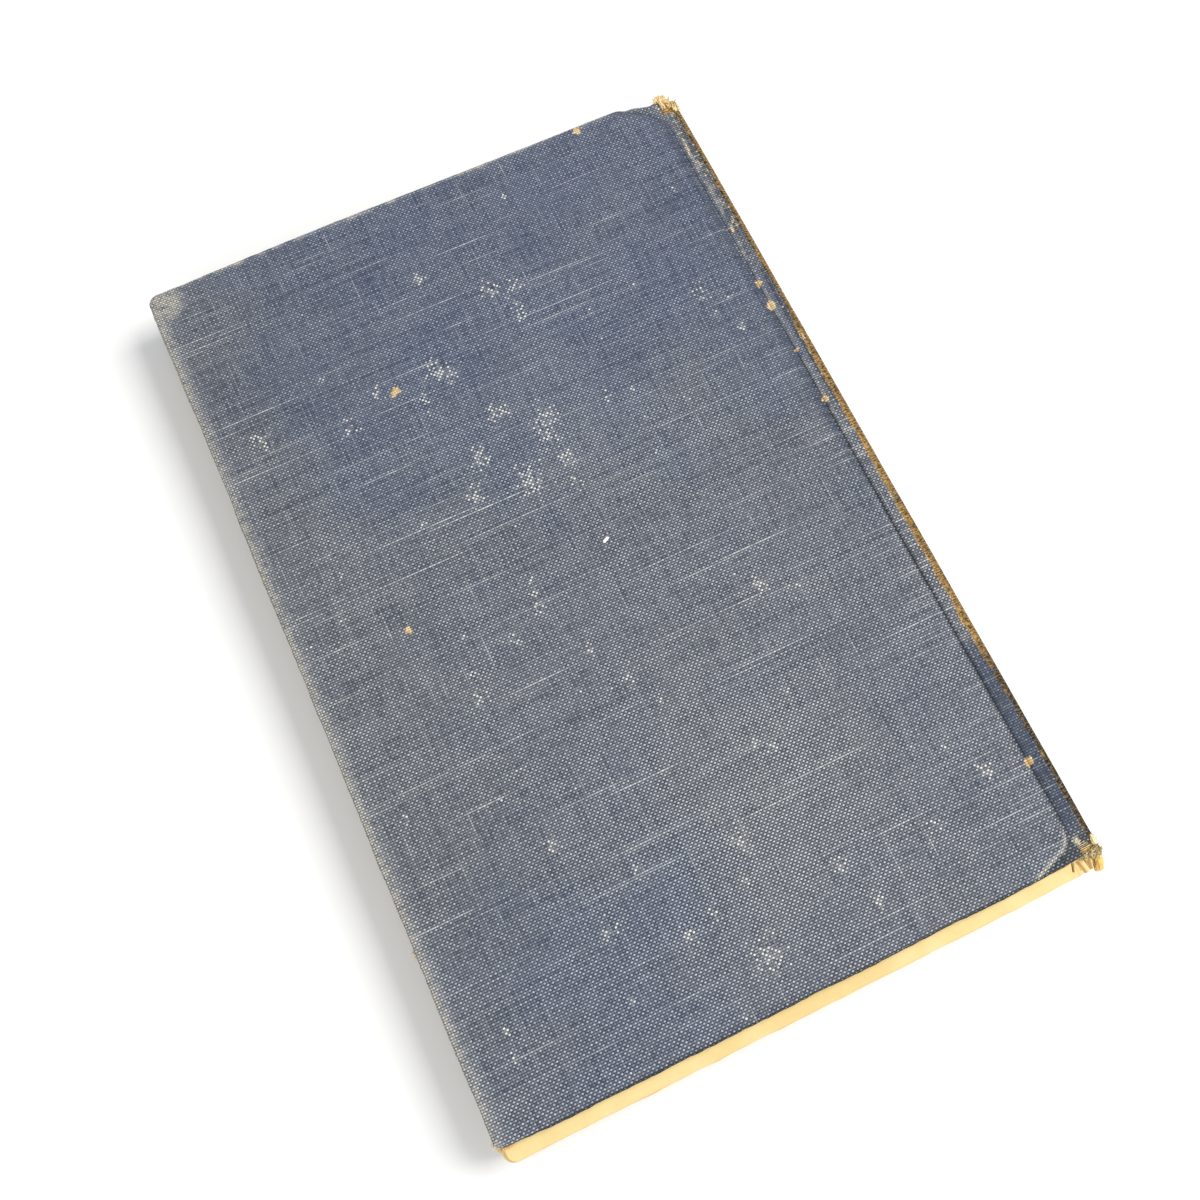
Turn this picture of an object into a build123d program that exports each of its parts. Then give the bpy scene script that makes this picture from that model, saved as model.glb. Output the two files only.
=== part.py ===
from build123d import *
import os

# A cloth-bound hardback book, closed, lying on its front cover.
# Millimetres. X runs from the fore edge to the spine, Y from the tail to the head, Z up.
# The origin is under the middle of the book, on the surface that it lies on.
# The back cover is built first, and the front cover is its mirror image.

# Whole book
COVER_WIDTH = 128.0
COVER_HEIGHT = 191.5
BOOK_THICKNESS = 14.0

# Sheet thicknesses
CLOTH = 0.4
BOARD = 2.0
PAPER = 0.15
MULL = 0.2
LINING = 0.15
INLAY = 0.8

# Boards and their covering
HEAD_CORNER_RADIUS = 2.2
TAIL_CORNER_RADIUS = 1.8
HEAD_CUT_WIDTH = 9.0
HEAD_CUT_HEIGHT = 6.0
HEAD_CUT_RADIUS = 8.0
TAIL_CUT_WIDTH = 10.0
TAIL_CUT_HEIGHT = 3.6
TAIL_CUT_RADIUS = 5.0
BOARD_EDGE_WEAR = 0.5
TURN_IN = 15.0
PASTEDOWN_MARGIN = 3.0
MULL_FLAP_WIDTH = 22.0

# Joint between a board and the spine
JOINT_WIDTH = 4.8
JOINT_LAP = 1.2
JOINT_CLEARANCE = 0.35
GROOVE_DEPTH = 1.3
GROOVE_WIDTH = 0.9
SPINE_EDGE_DROP = 0.6
SPINE_EDGE_RADIUS = 0.75
HINGE_INSET = 1.75
SPINE_CLEARANCE = 0.1

# Text block, which has slipped towards the tail
TAIL_STANDOUT = 3.0
TAIL_BOW = 0.1
HEAD_RECESS = 9.0
FORE_SQUARE = 0.6
FLYLEAF_INSET = 0.45
BLOCK_TAIL_CORNER = 2.2
BLOCK_HEAD_CORNER = 1.0
GATHERINGS = 9
FOLD_BULGE = 0.3
MULL_HEAD_GAP = 12.0
CRUMPLE_LOBES = 3
CRUMPLE_WIDTH = 1.6
CRUMPLE_DEPTH = 0.4

# Length by which a cutting solid runs past what it cuts
OVERRUN = 1.0

# Places across the book
cover_fore = -COVER_WIDTH / 2
spine_face = COVER_WIDTH / 2
board_fore = cover_fore + CLOTH
cover_near = spine_face - JOINT_WIDTH
board_near = cover_near - CLOTH
hinge_x = spine_face - HINGE_INSET
inlay_outer = spine_face - CLOTH
inlay_inner = inlay_outer - INLAY
lining_outer = inlay_inner - CLOTH - SPINE_CLEARANCE
mull_outer = lining_outer - LINING
block_back = mull_outer - MULL
block_fore = cover_fore + FORE_SQUARE

# Places along the book
cover_head = (COVER_HEIGHT + TAIL_STANDOUT) / 2
cover_tail = cover_head - COVER_HEIGHT
board_head = cover_head - CLOTH
board_tail = cover_tail + CLOTH
block_head = cover_head - HEAD_RECESS
block_tail = cover_tail - TAIL_STANDOUT

# Heights in the back cover, which is the upper one
cover_thickness = CLOTH + BOARD + CLOTH + PAPER
board_top = BOOK_THICKNESS - CLOTH
board_bottom = board_top - BOARD
turn_in_bottom = board_bottom - CLOTH
cover_bottom = BOOK_THICKNESS - cover_thickness
hinge_z = BOOK_THICKNESS - cover_thickness / 2
block_top = cover_bottom - PAPER
block_bottom = BOOK_THICKNESS - block_top
spine_top = BOOK_THICKNESS - SPINE_EDGE_DROP
groove_top = BOOK_THICKNESS - GROOVE_DEPTH
middle = Plane.XY.offset(BOOK_THICKNESS / 2)


def slab(x0, x1, y0, y1, z0, z1):
    """A block between two corners."""
    return Pos((x0 + x1) / 2, (y0 + y1) / 2, (z0 + z1) / 2) * Box(x1 - x0, y1 - y0, z1 - z0)


def case_outline(inset):
    """A board's outline seen from above, drawn in at the head, tail and fore edge."""
    points = [
        (board_fore + inset, board_tail + inset),
        (board_near - TAIL_CUT_WIDTH, board_tail + inset),
        (board_near, board_tail + TAIL_CUT_HEIGHT),
        (board_near, board_head - HEAD_CUT_HEIGHT),
        (board_near - HEAD_CUT_WIDTH, board_head - inset),
        (board_fore + inset, board_head - inset),
    ]
    face = make_face(Polyline(points, close=True))
    spine_side = face.vertices().filter_by(lambda v: v.X > 0)
    face = fillet(spine_side.sort_by(Axis.Y)[:2], TAIL_CUT_RADIUS)
    spine_side = face.vertices().filter_by(lambda v: v.X > 0)
    face = fillet(spine_side.sort_by(Axis.Y)[-2:], HEAD_CUT_RADIUS)
    fore_side = face.vertices().group_by(Axis.X)[0]
    face = fillet(fore_side.sort_by(Axis.Y)[0], TAIL_CORNER_RADIUS)
    fore_head = face.vertices().filter_by(lambda v: v.X < board_fore + inset + CLOTH).sort_by(Axis.Y)[-1]
    return fillet(fore_head, HEAD_CORNER_RADIUS)


def plate(face, bottom, top):
    """A flat sheet of the outline's shape between two heights."""
    return extrude(Pos(0, 0, bottom) * face, amount=top - bottom)


def soften_top(solid, radius):
    """Rounds the rim of a solid's upper face."""
    return fillet(solid.faces().sort_by(Axis.Z)[-1].edges(), radius)


def cover_board():
    return soften_top(plate(case_outline(0), board_bottom, board_top), BOARD_EDGE_WEAR)


def cover_cloth():
    """Cloth over the board's outside, turned in on three sides and lapped over the fourth."""
    wrapped = plate(offset(case_outline(0), amount=CLOTH), turn_in_bottom, BOOK_THICKNESS)
    wrapped = soften_top(wrapped, BOARD_EDGE_WEAR + CLOTH)
    window = slab(
        board_fore + TURN_IN,
        cover_near + OVERRUN,
        board_tail + TURN_IN,
        board_head - TURN_IN,
        turn_in_bottom - OVERRUN,
        board_bottom,
    )
    below_lap = slab(
        board_near,
        cover_near + OVERRUN,
        board_tail + TURN_IN,
        board_head - TURN_IN,
        turn_in_bottom - OVERRUN,
        BOOK_THICKNESS - JOINT_LAP,
    )
    return wrapped - cover_board() - window - below_lap


def mull_flap():
    """The part of the mull that is glued inside the cover."""
    return slab(
        board_near - MULL_FLAP_WIDTH,
        board_near,
        board_tail + TURN_IN,
        board_head - TURN_IN,
        board_bottom - MULL,
        board_bottom,
    )


def pastedown():
    """The pasted leaf, which steps down over the turned-in cloth and the mull."""
    rim_top = turn_in_bottom
    rim = plate(case_outline(PASTEDOWN_MARGIN), cover_bottom, rim_top)
    x_fore = board_fore + TURN_IN
    x_flap = board_near - MULL_FLAP_WIDTH
    y_tail = board_tail + TURN_IN
    y_head = board_head - TURN_IN
    well = slab(x_fore, board_near, y_tail, y_head, cover_bottom, board_bottom)
    outer_hollow = slab(
        x_fore + PAPER,
        x_flap - PAPER,
        y_tail + PAPER,
        y_head - PAPER,
        cover_bottom,
        board_bottom - PAPER,
    )
    flap_hollow = slab(
        x_flap - PAPER,
        board_near,
        y_tail + PAPER,
        y_head - PAPER,
        cover_bottom,
        board_bottom - MULL - PAPER,
    )
    return rim + well - outer_hollow - flap_hollow - mull_flap()


def leaf_outline(fore_x):
    """A leaf seen from above: the tail edge bows in and is crumpled beside the spine."""
    notch = block_tail + CRUMPLE_DEPTH
    crumple_start = block_back - CRUMPLE_LOBES * CRUMPLE_WIDTH
    tail_start = (fore_x, block_tail)
    tail_end = (crumple_start, block_tail)
    tail_middle = ((fore_x + crumple_start) / 2, block_tail + TAIL_BOW)
    edges = [ThreePointArc(tail_start, tail_middle, tail_end)]
    edges.append(Line(tail_end, (crumple_start, notch)))
    for lobe in range(CRUMPLE_LOBES):
        x0 = crumple_start + lobe * CRUMPLE_WIDTH
        x1 = x0 + CRUMPLE_WIDTH
        edges.append(ThreePointArc((x0, notch), ((x0 + x1) / 2, block_tail), (x1, notch)))
    rest = [(block_back, notch), (block_back, block_head), (fore_x, block_head), tail_start]
    edges.append(Polyline(rest))
    face = make_face(edges)
    fore = face.vertices().group_by(Axis.X)[0].sort_by(Axis.Y)
    face = fillet(fore[0], BLOCK_TAIL_CORNER)
    head = face.vertices().filter_by(lambda v: v.X < fore_x + CLOTH).sort_by(Axis.Y)[-1]
    return fillet(head, BLOCK_HEAD_CORNER)


def flyleaf():
    return plate(leaf_outline(block_fore + FLYLEAF_INSET), block_top, cover_bottom)


def text_block():
    """Leaves folded in gatherings, whose folds show as ridges down the back."""
    thickness = (block_top - block_bottom) / GATHERINGS
    root_x = block_back - FOLD_BULGE
    edges = []
    for fold in range(GATHERINGS):
        low = block_bottom + fold * thickness
        high = low + thickness
        edges.append(ThreePointArc((root_x, low), (block_back, (low + high) / 2), (root_x, high)))
    far_x = block_fore - OVERRUN
    rest = [(root_x, block_top), (far_x, block_top), (far_x, block_bottom), (root_x, block_bottom)]
    edges.append(Polyline(rest))
    section = Plane.XZ.offset(-block_head - OVERRUN) * make_face(edges)
    folded = extrude(section, amount=block_head - block_tail + 2 * OVERRUN)
    return plate(leaf_outline(block_fore), block_bottom, block_top) & folded


def back_strip(x0, x1):
    """A sheet glued down the back of the block."""
    return slab(x0, x1, block_tail + CRUMPLE_DEPTH, block_head - MULL_HEAD_GAP, block_bottom, block_top)


def spine_cloth():
    """Cloth down the back and into both joints, turned in over the ends of the inlay."""
    half = CLOTH / 2
    line_x = spine_face - half
    line_z = spine_top - half
    groove_x = cover_near + JOINT_CLEARANCE + half
    groove_z = groove_top - half
    upper = [
        (line_x, BOOK_THICKNESS / 2),
        (line_x, line_z),
        (groove_x + GROOVE_WIDTH, line_z),
        (groove_x, groove_z),
    ]
    path = FilletPolyline(*upper, radius=SPINE_EDGE_RADIUS - half)
    section = Plane.XZ.offset(-cover_head) * trace(path, line_width=CLOTH)
    upper_half = extrude(section, amount=COVER_HEIGHT)
    middle_cut = slab(cover_near, spine_face + OVERRUN, cover_tail, cover_head, 0, BOOK_THICKNESS / 2)
    upper_half = upper_half - middle_cut
    wall = upper_half + mirror(upper_half, about=middle)
    low = BOOK_THICKNESS - spine_top + CLOTH
    high = spine_top - CLOTH
    turned = slab(inlay_inner - CLOTH, inlay_outer, cover_head - TURN_IN, cover_head, low, high)
    turned = turned + slab(inlay_inner - CLOTH, inlay_outer, cover_tail, cover_tail + TURN_IN, low, high)
    return wall + turned - spine_inlay()


def spine_inlay():
    low = BOOK_THICKNESS - spine_top + CLOTH
    return slab(inlay_inner, inlay_outer, board_tail, board_head, low, spine_top - CLOTH)


def build():
    """Every piece of the book by its name."""
    pieces = {
        "text_block": text_block(),
        "mull": back_strip(block_back, mull_outer),
        "spine_lining": back_strip(mull_outer, lining_outer),
        "spine_inlay": spine_inlay(),
        "spine_cloth": spine_cloth(),
    }
    back = {
        "flyleaf": flyleaf(),
        "board": cover_board(),
        "cover_cloth": cover_cloth(),
        "mull_flap": mull_flap(),
        "pastedown": pastedown(),
    }
    for name, solid in back.items():
        pieces["back_" + name] = solid
        pieces["front_" + name] = mirror(solid, about=middle)
    return pieces


os.makedirs("parts", exist_ok=True)
for node, solid in build().items():
    export_step(solid, f"parts/{node}.step")
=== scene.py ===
import math

import bpy
import numpy as np
from mathutils import Matrix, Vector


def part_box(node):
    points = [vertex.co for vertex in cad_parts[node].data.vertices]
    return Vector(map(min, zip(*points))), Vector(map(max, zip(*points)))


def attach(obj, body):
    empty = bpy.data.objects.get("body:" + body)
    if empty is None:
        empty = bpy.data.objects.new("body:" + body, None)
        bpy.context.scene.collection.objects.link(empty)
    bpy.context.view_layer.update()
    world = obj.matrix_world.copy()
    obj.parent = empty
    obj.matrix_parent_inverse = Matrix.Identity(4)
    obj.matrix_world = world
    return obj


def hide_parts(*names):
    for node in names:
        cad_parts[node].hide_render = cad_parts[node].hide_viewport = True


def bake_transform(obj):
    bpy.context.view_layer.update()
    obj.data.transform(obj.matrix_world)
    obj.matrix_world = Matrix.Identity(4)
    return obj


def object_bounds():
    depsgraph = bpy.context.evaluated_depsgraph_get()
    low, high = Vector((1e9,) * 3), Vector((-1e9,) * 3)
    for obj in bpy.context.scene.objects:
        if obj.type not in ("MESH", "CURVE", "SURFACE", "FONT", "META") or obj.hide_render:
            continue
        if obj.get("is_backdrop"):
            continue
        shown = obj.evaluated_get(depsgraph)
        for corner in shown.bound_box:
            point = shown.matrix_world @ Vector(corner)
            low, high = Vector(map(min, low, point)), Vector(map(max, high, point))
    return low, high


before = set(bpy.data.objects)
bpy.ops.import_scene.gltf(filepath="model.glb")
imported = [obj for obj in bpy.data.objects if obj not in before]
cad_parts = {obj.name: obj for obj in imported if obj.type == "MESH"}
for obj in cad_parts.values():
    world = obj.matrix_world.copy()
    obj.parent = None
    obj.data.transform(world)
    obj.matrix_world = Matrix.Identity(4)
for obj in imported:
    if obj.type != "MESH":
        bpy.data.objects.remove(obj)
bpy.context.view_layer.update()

# All lengths are in metres, in the row frame: X to the spine, Y to the head, Z up.
MM = 0.001

# Places read from the frame
cloth_low, cloth_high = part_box("back_cover_cloth")
spine_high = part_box("spine_cloth")[1]
block_low, block_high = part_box("text_block")
paste_low, paste_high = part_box("back_pastedown")
fly_low, fly_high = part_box("back_flyleaf")
FORE, NEAR, SPINE = cloth_low.x, cloth_high.x, spine_high.x
TAIL, HEAD, TOP = cloth_low.y, cloth_high.y, cloth_high.z
COVER_DEPTH = TOP - cloth_low.z
MIDDLE = TOP / 2

# Covered board
EDGE_ROUND = 0.7 * MM
UNDER_ROUND = 0.4 * MM
HEAD_CORNER = 2.2 * MM
TAIL_CORNER = 2.0 * MM
HEAD_CUT_WIDTH = 9.0 * MM
HEAD_CUT_HEIGHT = 6.0 * MM
TAIL_CUT_WIDTH = 10.0 * MM
TAIL_CUT_HEIGHT = 3.6 * MM
INNER_FORE, INNER_TAIL, INNER_HEAD = FORE + EDGE_ROUND, TAIL + EDGE_ROUND, HEAD - EDGE_ROUND

# Joint and spine
SPINE_ROUND = 0.75 * MM
STRIP_DROP = 0.55 * MM
GROOVE_DROP = 1.15 * MM
GROOVE_OFFSET = 0.35 * MM
GROOVE_HALF_WIDTH = 0.4 * MM
SPINE_TURN_DEPTH = 1.6 * MM
JOINT_TURN_DEPTH = 1.1 * MM
SKIN_TURN_IN = 14 * MM

# Pasted leaves
TURN_IN = 15.4 * MM
PASTE_MARGIN = 3 * MM
PASTE_CORNER = 1.6 * MM
MULL_FLAP = 22 * MM
MULL_THICK = 0.2 * MM
WELL_DEPTH = 0.4 * MM

# Weave: from one thread to the next
THREAD = 0.5 * MM
# The front cover's cloth shows another part of the weave's random pattern.
FRONT_WEAVE_SHIFT = (0.31, 0.17, 0.0)

# Wear and dirt of the cloth, with painted light and painted shade, painted on its points and read by its
# material
MASKS = ("rub_and_light", "grey", "wear", "spot", "raw", "raw_dark", "dirt_and_shade", "tan")

rng = np.random.default_rng(41)


def ripple(x, y, wavelength, seed, waves=7):
    """Smooth random values, mostly between -1 and 1, that vary over about one wavelength."""
    local = np.random.default_rng(seed)
    total = 0.0
    for _ in range(waves):
        angle = local.uniform(0, 2 * math.pi)
        rate = 2 * math.pi / (wavelength * local.uniform(0.7, 1.6))
        shift = local.uniform(0, 2 * math.pi)
        total = total + np.sin((x * math.cos(angle) + y * math.sin(angle)) * rate + shift)
    return total / math.sqrt(waves)


def smooth(value, low, high):
    """0 below low, 1 above high and a smooth step between them."""
    t = np.clip((value - low) / (high - low), 0, 1)
    return t * t * (3 - 2 * t)


def hump(value, centre, width, power=2.0):
    """1 at the centre, falling to 0 on both sides over about the width."""
    return np.exp(-np.abs((value - centre) / width) ** power)


def hills(u, v, table):
    """The sum of rounded rises. Each gives its place, its width both ways and its height."""
    return sum(height * hump(u, x, wide) * hump(v, y, long) for x, y, wide, long, height in table)


def grid_faces(n_col, n_row, upward=True):
    """Faces between the points of a grid that is stored column by column."""
    faces = []
    for i in range(n_col - 1):
        for j in range(n_row - 1):
            a, b = i * n_row + j, (i + 1) * n_row + j
            faces.append((a, b, b + 1, a + 1) if upward else (a, a + 1, b + 1, b))
    return faces


def tube_faces(first, rings, sides, clockwise=True):
    """Faces around a row of rings of points, closed at both ends."""
    faces = []
    for i in range(rings - 1):
        for j in range(sides):
            a, b = first + i * sides + j, first + i * sides + (j + 1) % sides
            faces.append((b, a, a + sides, b + sides) if clockwise else (a, b, b + sides, a + sides))
    start, end = range(first, first + sides), range(first + (rings - 1) * sides, first + rings * sides)
    return faces + ([start, end[::-1]] if clockwise else [start[::-1], end])


def place_in_scene(name, data):
    item = bpy.data.objects.new(name, data)
    bpy.context.scene.collection.objects.link(item)
    return item


def make_piece(name, points, faces, material, attributes=None, smooth_shade=True):
    """A mesh piece with its material and the values painted on its points."""
    mesh = bpy.data.meshes.new(name)
    mesh.from_pydata([tuple(p) for p in points], [], [tuple(f) for f in faces])
    mesh.validate()
    for key, values in (attributes or {}).items():
        values = np.asarray(values, np.float32)
        kind = "FLOAT_VECTOR" if values.ndim == 2 else "FLOAT"
        field = "vector" if values.ndim == 2 else "value"
        mesh.attributes.new(key, kind, "POINT").data.foreach_set(field, values.ravel())
    mesh.polygons.foreach_set("use_smooth", [smooth_shade] * len(mesh.polygons))
    mesh.materials.append(material)
    piece = place_in_scene(name, mesh)
    return piece


class Graph:
    """A short way to write a material's nodes."""

    def __init__(self, name):
        self.material = bpy.data.materials.new(name)
        self.material.use_nodes = True
        self.tree = self.material.node_tree
        self.tree.nodes.clear()
        self.shader = self.add("ShaderNodeBsdfPrincipled")
        self.add("ShaderNodeOutputMaterial", {0: self.shader.outputs[0]})

    def add(self, kind, values=None, **settings):
        """A node, with a value or another node's output plugged into each socket that is named."""
        node = self.tree.nodes.new(kind)
        for key, setting in settings.items():
            setattr(node, key, setting)
        for key, value in (values or {}).items():
            self.plug(value, node.inputs[key])
        return node

    def plug(self, value, socket):
        if isinstance(value, bpy.types.NodeSocket):
            self.tree.links.new(value, socket)
        else:
            socket.default_value = value

    def math(self, operation, *values):
        return self.add("ShaderNodeMath", dict(enumerate(values)), operation=operation).outputs[0]

    def times(self, first, second):
        return self.math("MULTIPLY", first, second)

    def plus(self, first, second):
        return self.math("ADD", first, second)

    def swing(self, value, amount):
        """A value between 0 and 1, moved to lie around 0 and scaled."""
        return self.times(self.math("SUBTRACT", value, 0.5), amount)

    def attribute(self, name, output="Fac"):
        return self.add("ShaderNodeAttribute", attribute_name=name).outputs[output]

    def place(self):
        return self.add("ShaderNodeTexCoord").outputs["Object"]

    def axes(self, vector):
        return self.add("ShaderNodeSeparateXYZ", {0: vector}).outputs

    def vector(self, *values):
        return self.add("ShaderNodeCombineXYZ", dict(enumerate(values))).outputs[0]

    def noise(self, vector, scale, detail=2.0, roughness=0.5):
        values = {"Vector": vector, "Scale": scale, "Detail": detail, "Roughness": roughness}
        return self.add("ShaderNodeTexNoise", values).outputs["Fac"]

    def streaks(self, places, factors, detail, roughness=0.5, scale=1.0):
        """Noise over places that are each scaled by their own factor."""
        scaled = [self.times(place, factor) for place, factor in zip(places, factors)]
        return self.noise(self.vector(*scaled), scale, detail, roughness)

    def ramp(self, value, low, high, to_low=0.0, to_high=1.0):
        """A smooth step from to_low to to_high as value goes from low to high."""
        values = dict(enumerate((value, low, high, to_low, to_high)))
        return self.add("ShaderNodeMapRange", values, interpolation_type="SMOOTHSTEP").outputs[0]

    def mix(self, share, first, second):
        return self.add("ShaderNodeMix", {0: share, 6: first, 7: second}, data_type="RGBA").outputs[2]

    def bump(self, height, distance, strength=1.0, under=None):
        values = {"Strength": strength, "Distance": distance, "Height": height}
        if under is not None:
            values["Normal"] = under
        return self.add("ShaderNodeBump", values).outputs[0]

    def done(self, colour, roughness, specular, relief):
        """Gives the shader its colour, surface and relief."""
        self.plug(colour, self.shader.inputs["Base Color"])
        self.shader.inputs["Roughness"].default_value = roughness
        self.shader.inputs["Specular IOR Level"].default_value = specular
        self.plug(relief, self.shader.inputs["Normal"])
        return self.material


def srgb(red, green, blue):
    """A colour written as it looks, from 0 to 255, as Blender's linear values."""
    values = [c / 255 for c in (red, green, blue)]
    linear = [c / 12.92 if c <= 0.04045 else ((c + 0.055) / 1.055) ** 2.4 for c in values]
    return (*linear, 1.0)


# Colours of the cloth, each as it is where it is blue and where it has bleached to grey
GROUND = srgb(64, 73, 95), srgb(71, 77, 89)
# The gap colour is painted shade between the raised threads.
GAPS = srgb(34, 40, 56), srgb(36, 40, 49)
RUBBED_CROSSINGS = srgb(186, 194, 208), srgb(209, 211, 211)
# Colours of the cloth, each at its darkest and lightest
BARE_CROSSINGS = srgb(206, 211, 216), srgb(226, 223, 212)
TAN_STAIN = srgb(206, 166, 108), srgb(230, 206, 158)
FRESH_THREADS = srgb(74, 52, 24), srgb(208, 166, 98)
OLD_THREADS = srgb(28, 26, 20), srgb(136, 114, 80)
WORN_EDGE = srgb(222, 208, 176)
# The dark colour of dirt, also used as painted shade along the tail edge, in the groove and on the board's
# slope.
DIRT_AND_SHADE = srgb(34, 38, 38)


def cloth_material():
    """Blue plain weave, its dye rubbed off the raised crossings, the edges and the slubs."""
    g = Graph("book_cloth")
    flat = g.attribute("flat", "Vector")
    masks = [g.attribute(name) for name in MASKS]
    rub_and_light, grey, worn, pale_spot, raw, raw_dark, dirt_and_shade, tan_spot = masks
    u, v, _ = g.axes(flat)
    across, along = g.math("DIVIDE", u, THREAD), g.math("DIVIDE", v, THREAD)
    wander_u = g.streaks((across, along), (0.035, 0.012), 1.0)
    wander_v = g.streaks((across, along), (0.012, 0.035), 1.0)
    across, along = g.plus(across, wander_u), g.plus(along, wander_v)
    wave_u = g.math("SINE", g.times(across, math.pi))
    wave_v = g.math("SINE", g.times(along, math.pi))

    # Crossings are long along the weft, which runs from the fore edge to the spine.
    floats = g.math("POWER", g.math("ABSOLUTE", wave_u), 0.5)
    lift = g.times(floats, g.math("ABSOLUTE", wave_v))
    crossing = g.times(g.math("SIGN", g.times(wave_u, wave_v)), lift)
    height = g.math("POWER", lift, 0.6)
    cell_u, cell_v = g.math("FLOOR", across), g.math("FLOOR", along)
    cell = {"Vector": g.vector(cell_u, cell_v)}
    chance = g.add("ShaderNodeTexWhiteNoise", cell, noise_dimensions="2D").outputs["Value"]

    # Each thread has its own slow changes of tone along its length.
    weft = g.streaks((across, cell_v), (0.012, 7.31), 3.0, 0.55)
    warp = g.streaks((cell_u, along), (7.31, 0.03), 2.0, 0.6)
    cloud = g.noise(flat, 32.0, 4.0, 0.6)
    patch_u = g.streaks((across, along), (0.045, 0.14), 2.0, 0.6)
    patch_v = g.streaks((across, along), (0.14, 0.045), 2.0, 0.6)
    patch = g.times(g.plus(patch_u, patch_v), 0.5)
    speck = g.noise(flat, 800.0, 3.0, 0.7)

    tint = g.ramp(g.plus(grey, g.swing(cloud, 0.35)), 0.1, 0.9)
    ground, gap, pale = [g.mix(tint, *pair) for pair in (GROUND, GAPS, RUBBED_CROSSINGS)]
    thread = g.plus(g.times(g.plus(weft, warp), 0.5), g.times(chance, 0.12))
    ground = g.mix(g.ramp(thread, 0.36, 0.66, 0.0, 0.15), ground, pale)
    # Painted shade darkens the low places between the raised threads.
    colour = g.mix(g.ramp(lift, 0.02, 0.45, 1.0, 0.0), ground, gap)

    # How much of the dye is rubbed off at each crossing; the rub also carries painted light, brighter
    # towards the tail, and painted shade on the board's slope beside the joint
    spot = g.plus(g.times(pale_spot, 0.84), g.swing(chance, 0.8))
    spot = g.ramp(g.plus(spot, g.swing(speck, 0.9)), 0.5, 0.85)
    second_row = g.math("FLOORED_MODULO", cell_v, 2.0)
    amount = rub_and_light
    for value, share in ((chance, 0.65), (patch, 1.3), (weft, 0.5), (second_row, 0.3)):
        amount = g.plus(amount, g.swing(value, share))
    amount = g.plus(amount, g.plus(g.times(spot, 0.5), g.times(worn, 0.5)))
    dots = g.times(g.ramp(crossing, 0.2, 0.8), g.ramp(amount, -0.5, 1.65, 0.0, 0.88))
    colour = g.mix(dots, colour, pale)

    # Slubs and rubbed threads show as long pale lines.
    joint_side = g.times(g.ramp(u, 0.044, 0.060, 0.0, 0.06), g.ramp(v, 0.0, 0.04, 1.0, 0.0))
    weft_line = g.ramp(g.plus(weft, joint_side), 0.60, 0.74)
    weft_line = g.times(weft_line, g.math("POWER", g.math("ABSOLUTE", wave_v), 2.0))
    warp_line = g.ramp(warp, 0.64, 0.78)
    warp_line = g.times(warp_line, g.math("POWER", g.math("ABSOLUTE", wave_u), 2.0))
    lines = g.math("MAXIMUM", weft_line, g.times(warp_line, 0.7))
    lines = g.times(lines, g.ramp(speck, 0.38, 0.6, 0.12, 0.7))
    lines = g.times(lines, g.ramp(lift, 0.1, 0.6, 0.5, 1.0))
    bare = g.times(g.times(spot, 0.85), g.ramp(crossing, 0.0, 0.6, 0.12, 1.0))
    edge = g.times(worn, g.ramp(speck, 0.3, 0.65, 0.1, 0.75))
    edge = g.times(edge, g.ramp(lift, 0.1, 0.6, 0.35, 1.0))
    loss = g.math("MAXIMUM", g.math("MAXIMUM", lines, bare), edge)
    colour = g.mix(loss, colour, g.mix(worn, g.mix(chance, *BARE_CROSSINGS), WORN_EDGE))
    # Dirt and painted shade darken the cloth, less on the pale dots.
    colour = g.mix(g.times(dirt_and_shade, g.ramp(dots, 0.2, 0.9, 1.0, 0.45)), colour, DIRT_AND_SHADE)
    uneven = g.plus(g.swing(speck, 0.8), g.times(chance, 0.3))
    tan_share = g.ramp(g.plus(tan_spot, uneven), 0.5, 0.8)
    tan_share = g.times(tan_share, g.ramp(lift, 0.0, 0.5, 0.3, 1.0))
    colour = g.mix(tan_share, colour, g.mix(chance, *TAN_STAIN))

    # Where the cloth is worn through at the back edge, bare threads and glue show.
    torn = g.streaks((across, along), (0.30, 1.0), 3.0, 0.6, 0.8)
    bared = g.plus(raw, g.swing(torn, 1.1))
    fibre = g.streaks((across, along), (0.5, 1.4), 4.0, 0.7, 1.1)
    fresh = g.mix(g.ramp(fibre, 0.36, 0.64), *FRESH_THREADS)
    old = g.mix(g.ramp(fibre, 0.44, 0.68), *OLD_THREADS)
    colour = g.mix(g.ramp(bared, 0.42, 0.62), colour, g.mix(raw_dark, fresh, old))
    relief = g.bump(height, 0.00016, 0.8, g.bump(fibre, 0.0002, 0.35))
    return g.done(colour, 0.88, 0.3, relief)


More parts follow.
